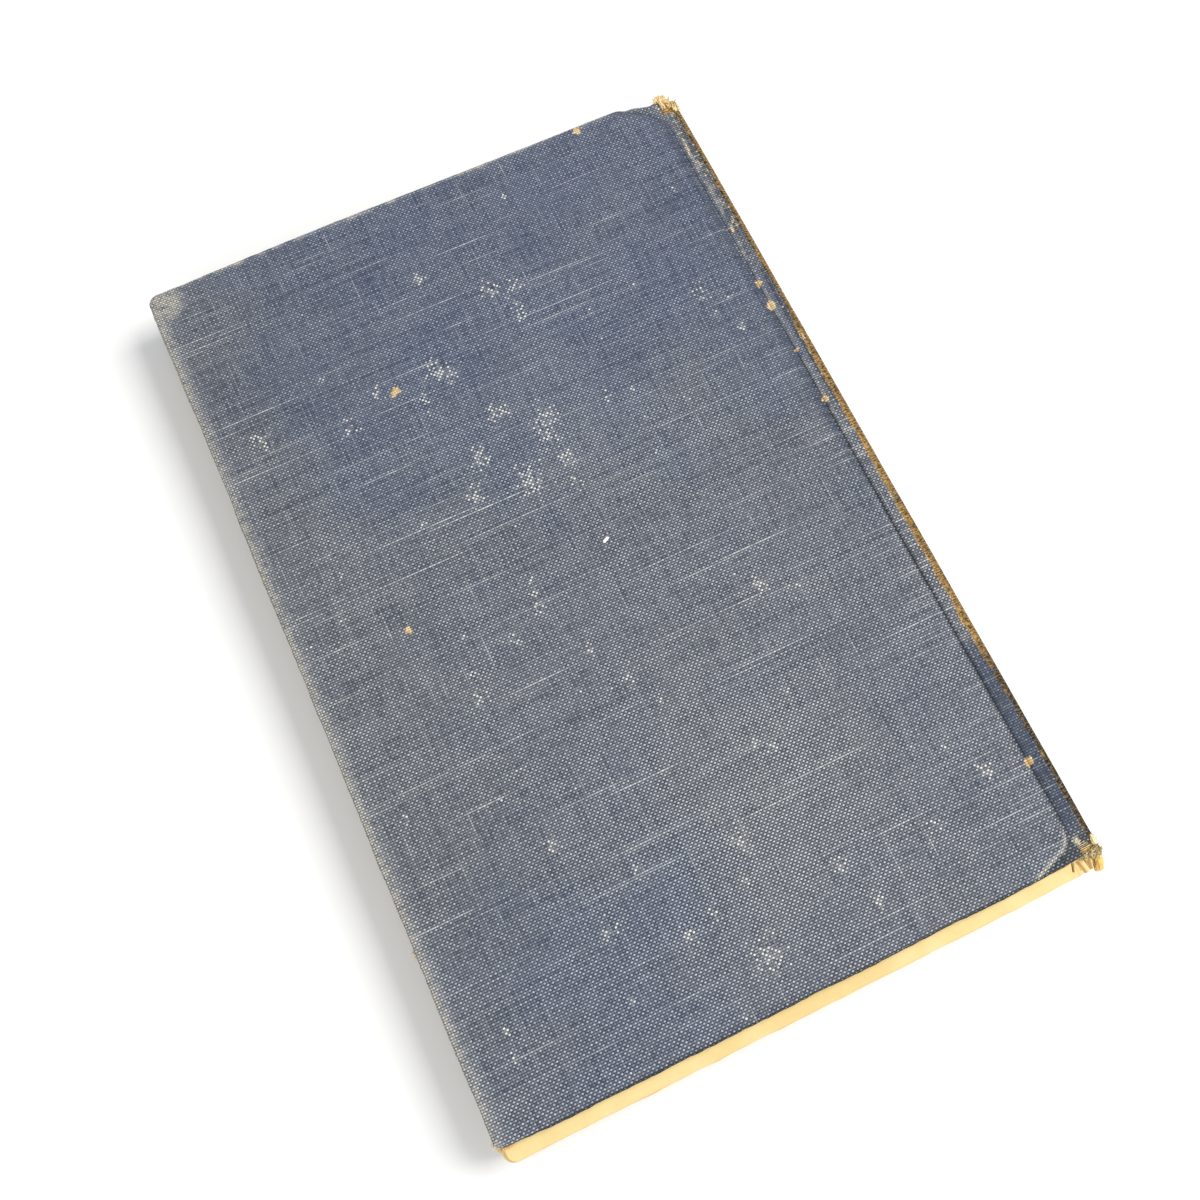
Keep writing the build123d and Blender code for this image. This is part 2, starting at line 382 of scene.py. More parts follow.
def paper_material(name, light, dark, leaf_lines):
    """Yellowed paper, with the fine lines of leaf edges where leaf_lines is not 0."""
    g = Graph(name)
    place = g.place()
    mottle = g.noise(place, 160.0, 4.0, 0.65)
    cloud = g.noise(place, 35.0, 2.0)
    share = g.plus(g.times(mottle, 0.6), g.times(cloud, 0.4))
    colour = g.mix(g.ramp(share, 0.36, 0.64), light, dark)
    # Brown stains, and painted shade in the crumpled leaves' hollows, in the same browns.
    stain_and_shade = g.times(g.attribute("stain_and_shade"), g.ramp(mottle, 0.3, 0.55, 0.7, 1.0))
    colour = g.mix(g.ramp(stain_and_shade, 0.0, 0.6), colour, srgb(182, 126, 56))
    colour = g.mix(g.ramp(stain_and_shade, 0.55, 0.95), colour, srgb(78, 50, 20))
    relief = g.bump(g.noise(place, 2600.0, 2.0), 0.00004, 0.35)
    if leaf_lines:
        layers = g.streaks(g.axes(place), (30.0, 30.0, 9000.0), 2.0)
        colour = g.mix(g.ramp(layers, 0.38, 0.6, leaf_lines, 0.0), colour, srgb(128, 92, 52))
        relief = g.bump(layers, 0.00008, 0.6, relief)
    return g.done(colour, 0.85, 0.3, relief)


def fibre_material(name, light, dark):
    """Board, lining paper or open cloth, mottled between two colours."""
    g = Graph(name)
    place = g.place()
    tone = g.noise(place, 900.0, 3.0, 0.7)
    colour = g.mix(g.ramp(tone, 0.35, 0.62), dark, light)
    return g.done(colour, 0.95, 0.2, g.bump(tone, 0.0001, 0.5))


def thread_material(name, dark, middle, light):
    """Frayed ends: dark at tone 0, middle at tone 0.5 and light at tone 1."""
    g = Graph(name)
    tone = g.attribute("tone")
    place = g.place()
    fine = g.noise(place, 3000.0, 2.0)
    tone = g.plus(tone, g.swing(fine, 0.5))
    colour = g.mix(g.ramp(tone, 0.0, 0.5), dark, middle)
    colour = g.mix(g.ramp(tone, 0.5, 1.0), colour, light)
    return g.done(colour, 0.95, 0.2, g.bump(fine, 0.0001, 0.5))


CLOTH = cloth_material()
LEAVES = paper_material("leaf_edges", srgb(229, 204, 148), srgb(213, 180, 120), 0.34)
ENDPAPER = paper_material("endpaper", srgb(231, 207, 149), srgb(224, 196, 134), 0.0)
CARD = fibre_material("grey_board", srgb(150, 124, 88), srgb(104, 80, 54))
MULL = fibre_material("mull", srgb(206, 176, 124), srgb(150, 112, 66))
FRAYED = thread_material("frayed_thread", srgb(96, 82, 52), srgb(222, 186, 122), srgb(242, 222, 174))
OLIVE = thread_material("loose_weave", srgb(84, 72, 44), srgb(198, 174, 120), srgb(240, 226, 184))
GLUED = thread_material("glued_thread", srgb(140, 98, 40), srgb(232, 186, 104), srgb(248, 226, 160))
LINT = thread_material("lint", srgb(190, 188, 180), srgb(232, 230, 222), srgb(250, 248, 242))


def near_line():
    """The covered board's edge beside the joint, from its tail corner to its head corner."""
    tail_turn = np.array([NEAR, TAIL + TAIL_CUT_HEIGHT])
    tail_start = np.array([NEAR - TAIL_CUT_WIDTH, TAIL])
    head_turn = np.array([NEAR, HEAD - HEAD_CUT_HEIGHT])
    head_end = np.array([NEAR - HEAD_CUT_WIDTH, HEAD])
    tail_way = (tail_turn - tail_start) / np.linalg.norm(tail_turn - tail_start)
    head_way = (head_end - head_turn) / np.linalg.norm(head_end - head_turn)
    up = np.array([0.0, 1.0])
    line = [tail_start - 6 * MM * tail_way]
    bend = np.linspace(0, 1, 12)[:, None]
    for corner, way_in, way_out, reach in (
        (tail_turn, tail_way, up, 3.2 * MM),
        (head_turn, up, head_way, 4.0 * MM),
    ):
        a, b = corner - way_in * reach, corner + way_out * reach
        line.extend((1 - bend) ** 2 * a + 2 * bend * (1 - bend) * corner + bend**2 * b)
    line.append(head_end + 6 * MM * head_way)
    return np.array(line)


NEAR_LINE = near_line()


def board_depth(x, y):
    """How far a place lies inside the board's near edge and its two cut corners."""
    x, y = np.broadcast_arrays(np.asarray(x, float), np.asarray(y, float))
    best = np.full(x.shape, 1.0)
    sign = np.ones(x.shape)
    for (ax, ay), (bx, by) in zip(NEAR_LINE[:-1], NEAR_LINE[1:]):
        dx, dy = bx - ax, by - ay
        length = math.hypot(dx, dy)
        share = np.clip(((x - ax) * dx + (y - ay) * dy) / length**2, 0, 1)
        distance = np.hypot(x - ax - share * dx, y - ay - share * dy)
        side = np.where((x - ax) * dy - (y - ay) * dx < 0, 1.0, -1.0)
        nearer = distance < best
        sign = np.where(nearer, side, sign)
        best = np.where(nearer, distance, best)
    return best * sign


def strip_drop(y):
    """How far the top of the joint lies below the board: a little more towards the ends."""
    ends = smooth(np.abs(y), 70 * MM, 95 * MM)
    return STRIP_DROP + 0.2 * MM * ends + 0.05 * MM * ripple(0 * y, y, 30 * MM, 12)


def cover_drop(x, y):
    """How far the cloth lies below the top of the board."""
    depth = board_depth(x, y)
    strip = strip_drop(y) + 0.1 * MM * smooth(x, NEAR, SPINE)
    shallow = 1 - 0.35 * smooth(y, 0, 60 * MM)
    dip = hump(-depth, GROOVE_OFFSET, GROOVE_HALF_WIDTH) * shallow
    level = strip + (GROOVE_DROP - strip) * dip
    hollow = 0.05 * MM * ripple(x, y, 60 * MM, 14)
    return level * (1 - smooth(depth, -0.2 * MM, 1.2 * MM)) + np.maximum(hollow, 0)


def edge_shift(x, table):
    """A smooth line through pairs of places across the cover and shifts of its edge."""
    places, shifts = np.array(table).T * MM
    fine = np.linspace(places[0], places[-1], 400)
    line = np.interp(fine, places, shifts)
    line = np.convolve(np.pad(line, 4, "edge"), np.ones(9) / 9, "valid")
    return np.interp(x, fine, line)


# Worn head and tail edges of the back cover, in millimetres: X, and how far the edge moves along Y
HEAD_SHIFTS = [
    (-64, -0.3), (-56, -0.3), (-40, 0), (-30, 0.12), (-10, 0.1), (14, -0.1), (34, -0.2), (46, -0.3),
    (50, -0.3), (53, -0.4), (55.5, -1.0), (57, -1.6), (58.5, -1.8), (59.6, -1.2), (61, -0.9), (62.6, -1.8),
    (63.4, -3.0), (64, -4.2),
]
TAIL_SHIFTS = [
    (-64, 0.5), (-60, 0.35), (-54, 0.1), (-40, 0), (50, 0), (58, 0.2), (61, 0.4), (63, 1.0), (64, 1.8),
]


def stations(low, high, step):
    """Evenly spaced places from low to high, about a step apart."""
    return np.linspace(low, high, max(2, round((high - low) / step) + 1))


def joined(start, *spans):
    """Stations over spans that follow one another. Each span gives its end and its step."""
    parts = []
    for end, step in spans:
        parts.append(stations(start, end, step)[:-1])
        start = end
    return np.concatenate(parts + [[start]])


def case_grid(fine, worn):
    """Points of the upper face, the rounded back edge and half of the spine, by column and row."""
    coarse = 0.8 * MM * fine
    spans = ((NEAR - 11 * MM, coarse), (NEAR - 1.8 * MM, 0.5 * MM * fine))
    columns = joined(INNER_FORE, *spans, (SPINE - SPINE_ROUND, 0.2 * MM * fine))
    head_round, tail_round = HEAD_CORNER - EDGE_ROUND, TAIL_CORNER - EDGE_ROUND
    low_y, high_y = INNER_TAIL + tail_round, INNER_HEAD - head_round
    arc = np.linspace(0, math.pi / 2, 8)
    rows = np.concatenate([
        INNER_TAIL + tail_round * (1 - np.cos(arc)),
        stations(low_y, high_y, coarse)[1:-1],
        INNER_HEAD - head_round * (1 - np.sin(arc)),
    ])
    tail_bend = np.clip(low_y - rows, 0, tail_round)
    head_bend = np.clip(rows - high_y, 0, head_round)
    corner = tail_round - np.sqrt(tail_round**2 - tail_bend**2)
    corner = corner + head_round - np.sqrt(head_round**2 - head_bend**2)
    turn = np.arcsin(np.clip(head_bend / head_round, 0, 1))
    turn = turn - np.arcsin(np.clip(tail_bend / tail_round, 0, 1))
    near_head = smooth(rows, HEAD - 26 * MM, INNER_HEAD)
    near_tail = smooth(-rows, -TAIL - 12 * MM, -INNER_TAIL)

    def shifted(x):
        at_head = edge_shift(x, HEAD_SHIFTS) * near_head
        return rows + worn * (at_head + edge_shift(x, TAIL_SHIFTS) * near_tail)

    def place(column_points, column_flat, normal):
        grid.append(np.stack(column_points, 1))
        flat.append(np.stack(column_flat, 1))
        normals.append(np.tile(normal, (len(rows), 1)))

    grid, flat, normals = [], [], []
    uneven = 0.12 * MM * ripple(0 * rows, rows, 35 * MM, 8)
    for x0 in columns:
        x = x0 + corner * np.clip(1 - (x0 - columns[0]) / (9 * MM), 0, 1)
        x = x + uneven * np.clip(1 - (x0 - columns[0]) / (20 * MM), 0, 1)
        y = shifted(x0)
        place([x, y, TOP - cover_drop(x, y)], [x, y, 0 * x], [0.0, 0.0, 1.0])
    edge_x = SPINE - SPINE_ROUND
    y = shifted(SPINE)
    blank = 0 * y
    strip = TOP - grid[-1][:, 2]
    for angle in np.linspace(0, math.pi / 2, 7)[1:]:
        x = edge_x + SPINE_ROUND * math.sin(angle) + blank
        z = TOP - strip - SPINE_ROUND * (1 - math.cos(angle))
        along = edge_x + SPINE_ROUND * angle + blank
        place([x, y, z], [along, y, blank], [math.sin(angle), 0.0, math.cos(angle)])
    base = TOP - strip - SPINE_ROUND
    for share in np.linspace(0, 1, 12)[1:]:
        z = base + (MIDDLE - base) * share
        y = rows + (shifted(SPINE) - rows) * (1 - 0.95 * smooth(share, 0.0, 0.5))
        along = edge_x + SPINE_ROUND * math.pi / 2 + base - z
        place([SPINE + blank, y, z], [along, y, blank], [1.0, 0.0, 0.0])
    return np.array(grid), np.array(flat), np.array(normals), turn


# Areas rubbed or bleached more or less than the rest, in millimetres: X, Y, width both ways, amount
RUBBED_AREAS = [
    (5, 28, 30, 30, 0.24), (8, -60, 26, 24, 0.28), (-45, 20, 16, 30, 0.1), (-50, -56, 18, 30, -0.28),
    (-44, 74, 20, 20, -0.1),
]
BLEACHED_AREAS = [(12, -55, 22, 26, 0.25), (-32, -75, 22, 24, -0.25)]
# Pale rubbed places and tan stains on the back cover, in millimetres: X, Y and a radius
PALE_SPOTS = [
    (-12.3, 53.5, 2.6), (-26.9, 54.3, 1.4), (-18.0, 48.4, 1.2), (-6.2, 39.5, 1.6), (-3.4, 39.0, 1.2),
    (3.4, 33.2, 2.8), (2.4, 29.6, 2.2), (3.9, 24.1, 1.8), (3.5, 17.3, 1.5), (-12.8, 30.7, 2.4),
    (-5.1, 22.1, 3.0), (-16.9, 23.9, 2.2), (-13.9, 1.6, 1.1), (-14.3, -1.3, 1.1), (17.4, 33.1, 1.3),
    (-53.3, 54.7, 2.0), (-35.2, 48.7, 2.2), (5.2, 66.7, 2.2), (10.7, 65.5, 2.0), (9.2, 59.4, 2.4),
    (-7.8, 75.5, 1.4), (17.9, 87.2, 1.0), (47.1, 47.0, 1.8), (-10.8, 51.5, 1.8), (-4.5, -25.5, 1.1),
    (-9.2, -16.5, 1.3), (12.2, -47.7, 1.0), (14.9, -49.0, 1.1), (-14.9, -4.6, 1.2), (-22.0, -8.1, 1.6),
    (-33.4, -16.4, 1.6), (28.2, -18.8, 1.5), (35.1, -23.3, 1.4), (-31.6, -48.6, 1.5), (-9.4, -73.4, 1.4),
    (-15.4, -74.7, 1.5), (-28.7, -67.4, 1.5), (-3.3, -84.3, 3.2), (16.0, -76.1, 1.5), (36.8, -76.4, 1.3),
    (50.9, -71.3, 2.2), (-53.9, -75.4, 1.0), (-18.8, -59.8, 1.3), (1.2, -62.9, 2.0), (20.3, -84.3, 1.3),
    (48.0, 40.5, 0.7),
]
TAN_SPOTS = [
    (-23.1, 52.8, 1.3), (-40.9, 2.8, 0.9), (39.7, 95.7, 1.1), (59.8, 37.4, 1.3), (59.7, -73.6, 1.1),
    (60.0, 43.4, 0.9), (60.1, 12.6, 0.9), (60.0, 25.5, 0.7),
]


def worn_masks(u, v, side):
    """Where the cloth is rubbed, bleached, dirty, spotted and worn through."""
    # Every length from here to the end of this function is in millimetres.
    board = board_depth(u, v) / MM
    u, v = u / MM, v / MM
    fore, near, spine, tail, head = [edge / MM for edge in (FORE, NEAR, SPINE, TAIL, HEAD)]

    def along_spine(wavelength, seed):
        return ripple(0 * u, v, wavelength, seed)

    # Worn rims, the creased cloth of the cut tail corner and the ridge beside the joint
    cut_tail = smooth(u, near - 12, near - 9) * smooth(-v, -tail - 8, -tail - 3.5)
    crease = hump(board, 0.3, 0.4) * cut_tail
    tail_end = smooth(-np.hypot(u - near - 1.1, v - tail - 3.6), -1.1, -0.4)
    upper, far_up = smooth(v, -5, 15), smooth(v, 52, 62)
    broken = np.clip(0.6 + 0.4 * ripple(u, v, 2.4, 35) + 0.25 * along_spine(6, 36), 0, 1.2)
    ridge = hump(u, near + 0.95 + 0.75 * far_up, 0.4 + 0.15 * far_up) * upper * broken
    strong = 0.42 + 0.28 * hump(v, 70, 9) + 0.12 * smooth(-v, -50, -35)
    wear = np.maximum.reduce([
        0.8 * hump(u, fore + 0.2, 1.6, 1.5),
        0.45 * hump(v, head - 0.3, 0.8) * (1 + ripple(u, 0 * v, 5, 21)),
        0.7 * smooth(-np.hypot(u - fore - 2, v - head + 3), -6.5, -3.5),
        crease,
        tail_end,
        strong * ridge,
    ])

    # Rubbed and bleached areas. The rub's rise towards the tail is painted light, which brightens the cloth
    # there.
    rub_and_light = 0.33 + 0.34 * smooth(-v, -45, 60) - 0.06 * smooth(u, 40, 58) * smooth(v, -40, 20)
    rub_and_light = rub_and_light + hills(u, v, RUBBED_AREAS) - 0.07 * smooth(u, 10, 40) * smooth(-v, 10, 40)
    rub_and_light = rub_and_light + 0.05 * ripple(u, v, 26, 23) + 0.04 * ripple(u, v, 9, 24)
    grey = 0.25 + 0.4 * smooth(-v, -55, -5) + 0.5 * hump(u, fore, 22) * smooth(v, -65, -30)
    grey = grey + hills(u, v, BLEACHED_AREAS) + 0.07 * ripple(u, v, 22, 25)

    # The joint keeps its blue at the tail, and the cut head corner is rubbed.
    strip, low_part = smooth(-board, 0.3, 0.9), smooth(-v, 40, 58)
    blue_strip = strip * low_part * (1 - cut_tail)
    grey_strip = strip * smooth(-v, -20, -5) * (1 - low_part)
    cut_head = smooth(u, near - 8, near - 5) * smooth(v, head - 7, head - 5)
    # Painted shade on the board's slope beside the joint: it makes the cloth there darker, bluer and less
    # rubbed.
    shade = smooth(-board, -2.4, -0.3) * smooth(board, -0.5, 0) * smooth(v, -20, 15) * (1 - cut_head)
    rub_and_light = rub_and_light * (1 - 0.75 * blue_strip) * (1 - 0.6 * shade)
    rub_and_light = rub_and_light + 0.25 * cut_head * smooth(-board, 0, 0.6) + 0.02 * grey_strip
    grey = grey * (1 - 0.9 * blue_strip) * (1 - 0.8 * shade)
    grey = grey + 0.4 * grey_strip + 0.5 * strip * smooth(v, 40, 55)

    # Small spots
    spot, tan = 0 * u, 0 * u
    if side > 0:
        for x, y, size in PALE_SPOTS:
            spot = np.maximum(spot, hump(np.hypot(u - x, (v - y) * 0.8), 0, size * 1.1, 1.5))
        for x, y, size in TAN_SPOTS:
            tan = np.maximum(tan, hump(np.hypot(u - x, v - y), 0, size))
    scattered = smooth(ripple(u, v, 11, 30 + side) * ripple(u, v, 4, 33), 1.1, 2.2)
    spot = np.maximum.reduce([spot, 0.8 * crease, 0.75 * scattered])

    # The cloth is worn through along the back edge and at both ends of the spine.
    middle = smooth(v, -60, -46) * (1 - smooth(v, 28, 36))
    inner = spine - 1.5 - 0.3 * middle + 0.14 * along_spine(7, 26)
    band = smooth(u, inner - 0.15, inner + 0.15)
    on_top = 1 - smooth(u, spine + 0.9, spine + 1.6)
    orange = smooth(along_spine(7, 28), 0.5, 1.1) * (0.4 + 0.6 * smooth(v, 45, 55))
    across_band = smooth(u, inner + 0.1, spine - 0.8)
    light = (0.85 - 0.35 * across_band + 0.2 * along_spine(3, 27)) * middle
    outer = smooth(u, spine - 1.15, spine - 0.8)
    head_end = smooth(v, head - 6.5, head - 5) * smooth(u, near + 0.2, near + 1.2) * on_top
    tail_frayed = smooth(-v, -tail - 2.6, -tail - 1.6) * smooth(u, near + 0.3, near + 1.5) * on_top
    raw = band * (0.62 + 0.14 * middle + 0.08 * along_spine(5, 29)) * on_top
    raw = np.maximum.reduce([raw, outer * on_top, head_end, tail_frayed])
    raw_dark = (1 - light) * (1 - 0.8 * orange) * (1 - 0.5 * outer * smooth(v, 28, 38))
    raw_dark = np.maximum(raw_dark, outer * (1 - 0.55 * smooth(v, -58, -46)))
    raw_dark = raw_dark * (1 - head_end) * (1 - 0.7 * tail_frayed)

    # Painted shade along the tail edge, in the groove, on the board's slope and at the rim of the cut head
    # corner; dirt on the cut tail corner and along the joint; tan beside the spine
    upper_strip = smooth(v, 40, 60) * smooth(u, near + 1.5, near + 2.2) * (1 - outer)
    low_strip = smooth(v, 8, 18) * (1 - smooth(v, 42, 50)) * smooth(u, near + 2.1, near + 2.5)
    tail_gap = v - tail - 0.3
    dirt_and_shade = np.maximum.reduce([
        # painted shade along the cover's tail edge
        0.9 * hump(np.maximum(tail_gap, 0), 0, 0.5) * smooth(-tail_gap, -1.5, 0.4),
        # painted shade in the joint's groove
        0.6 * hump(board, -GROOVE_OFFSET / MM, 0.35) * (1 - 0.8 * smooth(v, 10, 60)),
        0.65 * cut_tail * smooth(-board, -0.1, 0.8) * (1 - tail_end),
        0.25 * upper_strip,
        0.5 * low_strip * (1 - band),
        # painted shade on the board's slope, and the joint's darker blue at the tail
        0.35 * np.maximum(shade, blue_strip),
        # painted shade along the rim of the cut head corner
        0.7 * hump(board, -0.1, 0.35) * cut_head,
    ])
    tan = np.maximum.reduce([
        tan,
        ridge * np.clip(0.2 + 0.22 * along_spine(4, 22) + 0.22 * far_up, 0, 1),
        0.5 * hump(u, inner, 0.2) * middle,
        0.31 * upper_strip,
    ])

    # The turned-in cloth is less worn and dirty, with less painted light and shade.
    inside = smooth(np.maximum.reduce([tail - v, v - head, fore - u]), 1.2, 3)
    raw, wear, dirt_and_shade, tan, spot = [value * (1 - inside) for value in (raw, wear, dirt_and_shade, tan, spot)]
    rub_and_light = rub_and_light * (1 - 0.6 * inside)
    values = (rub_and_light, grey, wear, spot, raw, raw_dark, dirt_and_shade, tan)
    return {key: np.clip(value, 0, 1) for key, value in zip(MASKS, values)}


def case_half(name, side, fine):
    """Half of the covering cloth, from one cover's turned-in edges to the middle of the spine."""
    grid, flat, normals, turn = case_grid(fine, 1.0 if side > 0 else 0.35)
    n_col, n_row = grid.shape[:2]

    # The rim runs from the middle of the spine along the tail, up the fore edge and back along the head.
    loop = [(i, 0) for i in range(n_col - 1, -1, -1)]
    loop += [(0, j) for j in range(1, n_row)]
    loop += [(i, n_row - 1) for i in range(1, n_col)]
    outward = []
    for i, j in loop:
        angle = turn[j] if i == 0 else math.copysign(math.pi / 2, j - 0.5)
        outward.append((-math.cos(angle), math.sin(angle), 0.0))
    outward = np.array(outward)
    start = np.array([grid[i, j] for i, j in loop])
    start_flat = np.array([flat[i, j] for i, j in loop])
    up = np.array([normals[i, j] for i, j in loop])
    on_board = 1 - smooth(start_flat[:, 0], NEAR - 4 * MM, NEAR + 0.6 * MM)
    on_face = smooth(start_flat[:, 0], SPINE - 0.5 * MM, SPINE + 0.8 * MM)
    depth = JOINT_TURN_DEPTH + (COVER_DEPTH - JOINT_TURN_DEPTH) * on_board
    depth = depth + (SPINE_TURN_DEPTH - JOINT_TURN_DEPTH) * on_face
    depth = np.minimum(depth, COVER_DEPTH - (1 - on_face) * (TOP - start[:, 2]))
    top_round = np.minimum(EDGE_ROUND, depth * 0.5)
    low_round = np.minimum(UNDER_ROUND, depth * 0.4)
    uneven = 0.05 * MM * ripple(start[:, 0], start[:, 1], 2.2 * MM, 5)
    uneven = uneven + 0.06 * MM * ripple(start[:, 0], start[:, 1], 14 * MM, 6)
    rings, ring_flat = [], []

    def ring(out, down, travelled):
        """One more line of points: outward from the rim, down from the face, and its place on flat cloth."""
        rings.append(start + outward * out[:, None] - up * down[:, None])
        ring_flat.append(start_flat + outward * travelled[:, None])

    for angle in np.linspace(0, math.pi / 2, 6)[1:]:
        out = top_round * math.sin(angle) + uneven * math.sin(angle)
        ring(out, top_round * (1 - math.cos(angle)), top_round * angle)
    travelled = top_round * math.pi / 2
    wall = np.maximum(depth - top_round - low_round, 0)
    for share in (0.33, 0.66, 1.0):
        ring(top_round + uneven, top_round + wall * share, travelled + wall * share)
    travelled = travelled + wall
    for angle in np.linspace(0, math.pi / 2, 4)[1:]:
        out = top_round + uneven - low_round * (1 - math.cos(angle))
        ring(out, depth - low_round + low_round * math.sin(angle), travelled + low_round * angle)
    travelled = travelled + low_round * math.pi / 2

    # The turned-in cloth is mitred where two edges of the cover meet.
    along_end = np.abs(outward[:, 1]) > 0.999
    along_fore = np.abs(outward[:, 0]) > 0.999
    reach = np.where(outward[:, 1] < 0, TAIL_CORNER, HEAD_CORNER) - EDGE_ROUND
    reach = np.where(along_end, start[:, 0] - INNER_FORE, reach)
    reach = np.where(along_fore, np.minimum(start[:, 1] - INNER_TAIL, INNER_HEAD - start[:, 1]), reach)
    ledge = top_round + uneven - low_round
    room = np.minimum(SKIN_TURN_IN, reach - 0.03 * MM + ledge)
    for share in (0.04, 0.11, 0.22, 0.36, 0.64, 1.0):
        ring(ledge - room * share, depth, travelled + room * share)

    points = np.concatenate([grid.reshape(-1, 3)] + rings)
    flats = np.concatenate([flat.reshape(-1, 3)] + ring_flat)
    faces = grid_faces(n_col, n_row)
    previous = [i * n_row + j for i, j in loop]
    first = n_col * n_row
    for k in range(len(rings)):
        current = [first + k * len(loop) + m for m in range(len(loop))]
        for m in range(len(loop) - 1):
            faces.append((previous[m], previous[m + 1], current[m + 1], current[m]))
        previous = current
    attributes = worn_masks(flats[:, 0], flats[:, 1], side)
    if side < 0:
        points[:, 2] = TOP - points[:, 2]
        flats = flats + FRONT_WEAVE_SHIFT
        faces = [face[::-1] for face in faces]
    attributes["flat"] = flats
    return make_piece(name, points, faces, CLOTH, attributes)


back_case = case_half("back_case_cloth", 1, 1.0)
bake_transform(back_case)
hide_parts("back_cover_cloth", "spine_cloth")
front_case = case_half("front_case_cloth", -1, 1.6)
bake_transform(front_case)
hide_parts("front_cover_cloth")


# Leaves of the text block
LEAF_COUNT = 60
TAIL_BOW = 0.1 * MM
LEAF_TAIL_CORNER = 2.2 * MM
LEAF_HEAD_CORNER = 1.0 * MM


def corner_lift(x):
    """How far the leaves' tail edge draws back beside the spine."""
    return 0.2 * MM * smooth(x, 43 * MM, 51 * MM) + 0.1 * MM * smooth(x, 56 * MM, 58.6 * MM)


def rounded(gap, radius):
    """How far a rounded corner draws an edge back at a gap from the other edge."""
    return radius * (1 - np.sqrt(1 - np.clip(1 - gap / radius, 0, 1) ** 2))


def leaf_loop():
    """A leaf's outline, from the spine end of the tail edge round by the fore edge to the head."""
    x_fore, x_back = block_low.x, block_high.x
    y_tail, y_head = block_low.y, block_high.y
    tail_x = stations(x_fore + LEAF_TAIL_CORNER, x_back - 5 * MM, 0.9 * MM)[::-1]
    share = (tail_x - tail_x[-1]) / (tail_x[0] - tail_x[-1])
    bow = TAIL_BOW * 4 * share * (1 - share)
    fine_x = stations(x_back - 5 * MM, x_back, 0.3 * MM)[::-1][:-1]
    points = [(x, y_tail + 0.05 * MM + corner_lift(x)) for x in fine_x]
    points += list(zip(tail_x, y_tail + bow + corner_lift(tail_x)))
    for angle in np.linspace(0, math.pi / 2, 9)[1:-1]:
        along, out = LEAF_TAIL_CORNER * (1 - math.sin(angle)), LEAF_TAIL_CORNER * (1 - math.cos(angle))
        points.append((x_fore + along, y_tail + out))
    points += [(x_fore, y) for y in stations(y_tail + LEAF_TAIL_CORNER, y_head - LEAF_HEAD_CORNER, 1.6 * MM)]
    for angle in np.linspace(0, math.pi / 2, 5)[1:-1]:
        along, out = LEAF_HEAD_CORNER * (1 - math.cos(angle)), LEAF_HEAD_CORNER * (1 - math.sin(angle))
        points.append((x_fore + along, y_head - out))
    points += [(x, y_head) for x in stations(x_fore + LEAF_HEAD_CORNER, x_back, 1.6 * MM)]
    points += [(x_back - 0.02 * MM, y) for y in stations(y_head, y_tail, 8 * MM)[1:-1]]
    return np.array(points)


# Hollows between the crumpled leaves at the tail of the back, in millimetres: X at the cover's edge,
# X at the leaf's edge, half width, depth, darkness of the painted shade and the place along Y where the
# hollow ends
CRUMPLES = [
    (58.13, 57.1, 0.13, 1.4, 0.95, -95.95), (59.0, 59.1, 0.14, 0.4, 0.35, -96.3),
    (59.2, 59.65, 0.28, 0.5, 0.4, -97.3), (60.75, 60.95, 0.2, 0.7, 0.45, -97.4),
    (61.35, 60.95, 0.28, 0.7, 0.3, -97.2), (62.5, 61.8, 0.18, 1.2, 0.8, -97.4),
]


def crumple(x, y):
    """How far crumpled leaves rise or sink, and how much painted shade darkens a place in a hollow."""
    rise, hollow = 0 * x, 0 * x
    along = (-y - 94.4 * MM) / (2.6 * MM)
    for top, bottom, width, depth, darkness, end in CRUMPLES:
        away = (x - (top + (bottom - top) * along) * MM) / (width * MM)
        open_part = smooth(-y, 94.1 * MM, 94.5 * MM) * (1 - smooth(-y, (-end - 0.3) * MM, -end * MM))
        dip = hump(away, 0, 1) * open_part
        rise = np.minimum(rise, -depth * MM * dip)
        hollow = np.maximum(hollow, darkness * dip)
    ridge = smooth(x, 58.2 * MM, 58.6 * MM) * smooth(-y, 93.9 * MM, 94.6 * MM)
    return rise + 0.12 * MM * ridge, hollow


def leaf_stack():
    """The leaves as one closed piece, each leaf's edges a little in or out from the next."""
    loop = leaf_loop()
    along = np.roll(loop, -1, 0) - np.roll(loop, 1, 0)
    along = along / np.linalg.norm(along, axis=1)[:, None]
    inward = np.stack([along[:, 1], -along[:, 0]], 1)
    points = []
    low_z, high_z = block_low.z, block_high.z
    thick = (high_z - low_z) / LEAF_COUNT
    at_back = loop[:, 0] > block_high.x - 0.1 * MM
    free = np.where(at_back, 0.0, 1.0)

    def add_ring(outline, z):
        rise = crumple(outline[:, 0], outline[:, 1])[0]
        height = z + rise * smooth(z + 0 * rise, high_z - 4 * MM, high_z)
        points.append(np.column_stack([outline, height]))

    for leaf in range(LEAF_COUNT):
        whole = abs(rng.normal(0, 0.06 * MM))
        local = 0.03 * MM * ripple(loop[:, 0], loop[:, 1], 18 * MM, 300 + leaf)
        step = free * (whole + np.abs(local))
        low = low_z + leaf * thick
        add_ring(loop + inward * (step + free * 0.10 * MM)[:, None], low)
        add_ring(loop + inward * step[:, None], low + thick * 0.22)
        add_ring(loop + inward * step[:, None], low + thick * 0.85)
    for inset, drop in ((0, 0), (1.0 * MM, 0), (1.2 * MM, 1.2 * MM)):
        add_ring(loop + inward * inset, high_z - drop)
    faces = tube_faces(0, len(points), len(loop))
    return make_piece("leaves", np.concatenate(points), faces, LEAVES, smooth_shade=False)


